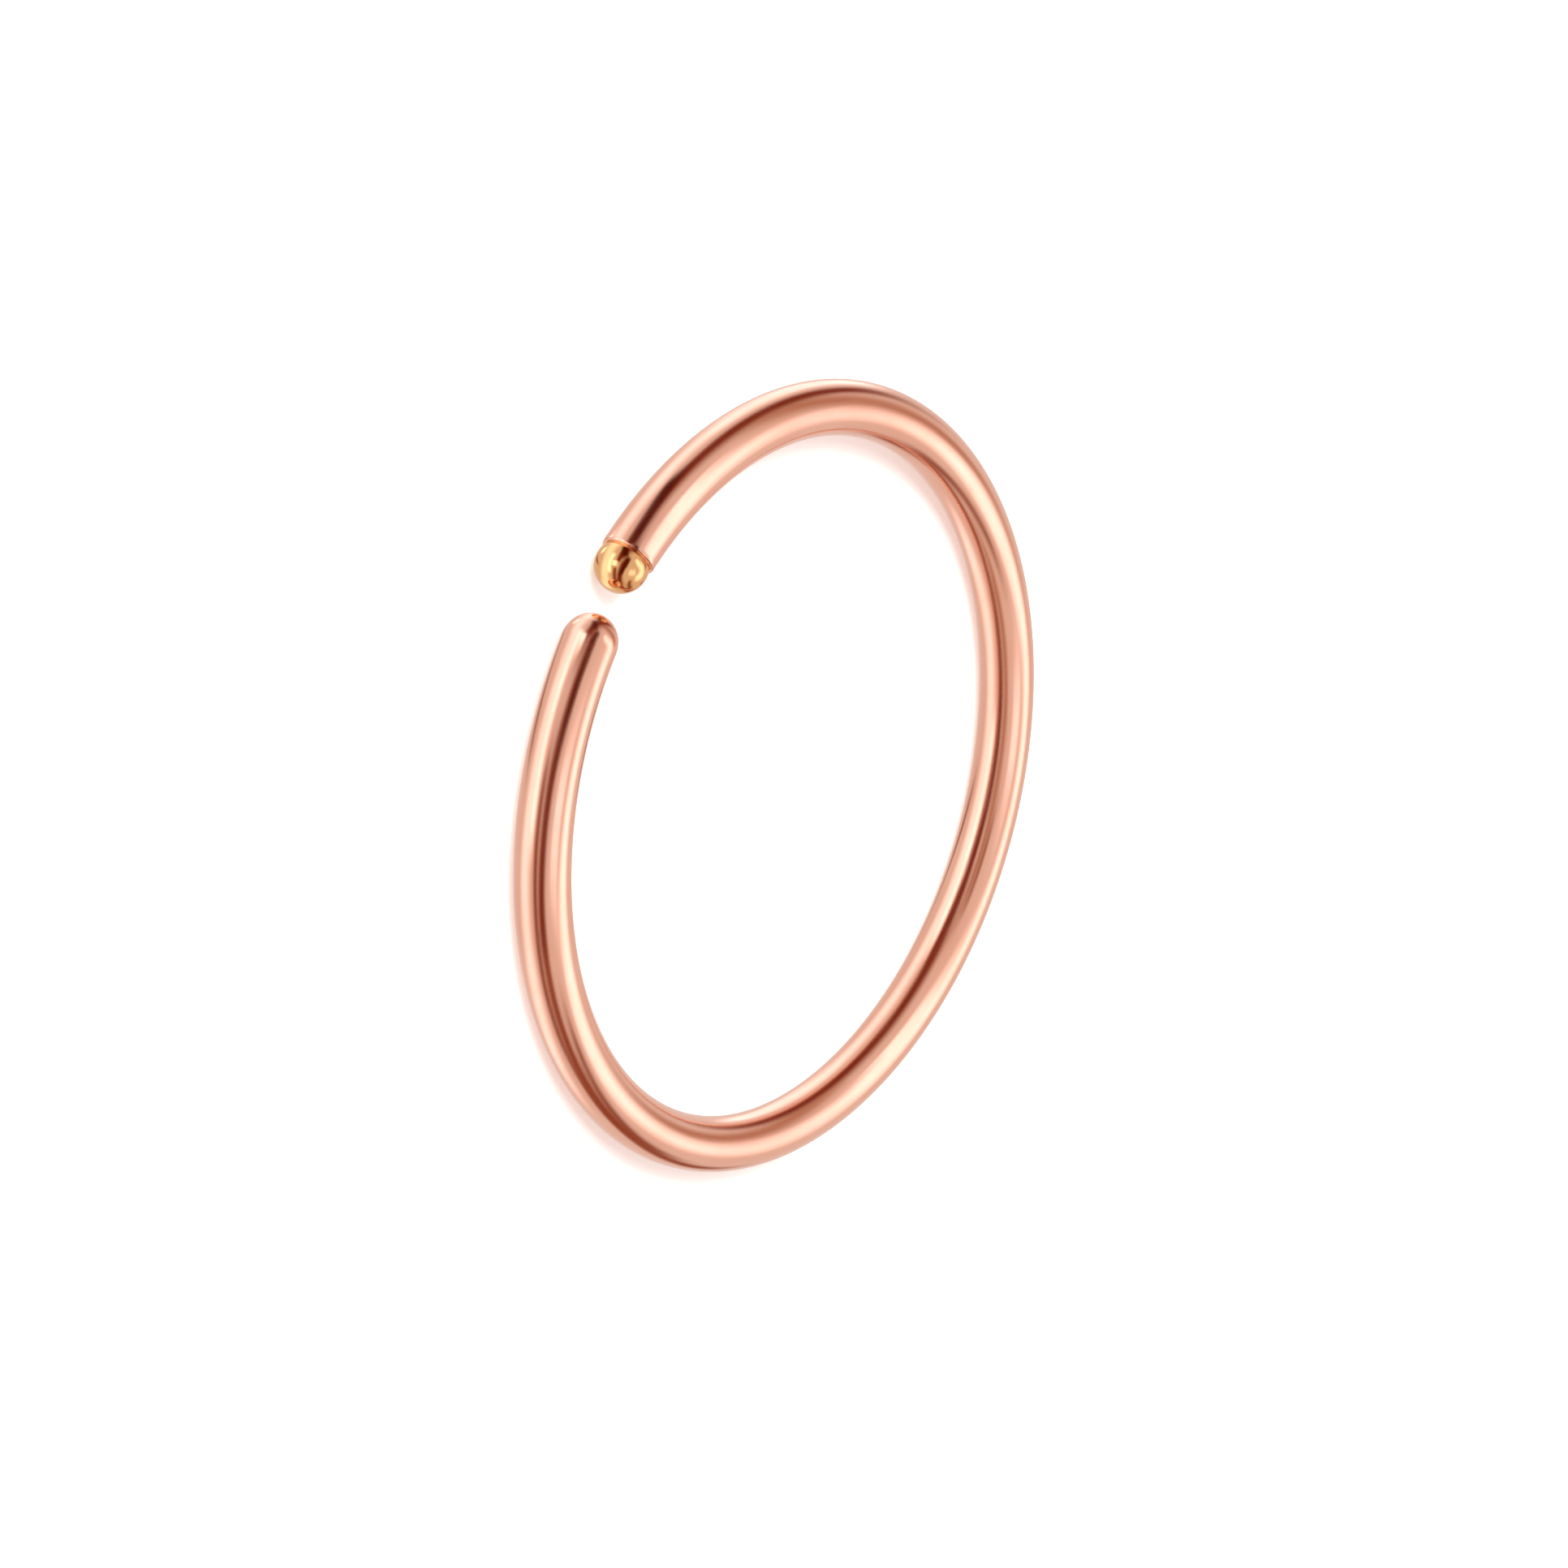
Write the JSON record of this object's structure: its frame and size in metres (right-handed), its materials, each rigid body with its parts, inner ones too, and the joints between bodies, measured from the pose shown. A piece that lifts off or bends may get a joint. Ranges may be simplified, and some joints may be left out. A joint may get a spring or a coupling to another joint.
{
  "type": "nose ring",
  "caption": "Open hoop of round polished gold wire with a ball on one end and a rounded plain end, lying on its side.",
  "frame": {"origin": "on the hoop's axis, in the plane that the hoop lies on", "axes": "+Z along the hoop's axis, up from the side that it lies on; -Y towards the gap between its two ends; the ball end is on the -X side of the gap"},
  "size_m": [0.0116, 0.0117, 0.0009],
  "materials": {
    "rose_gold": "polished rose gold wire",
    "yellow_gold": "polished yellow gold ball"
  },
  "bodies": {
    "root": {"hoop_with_ball_end": "rose_gold"}
  },
  "joints": []
}
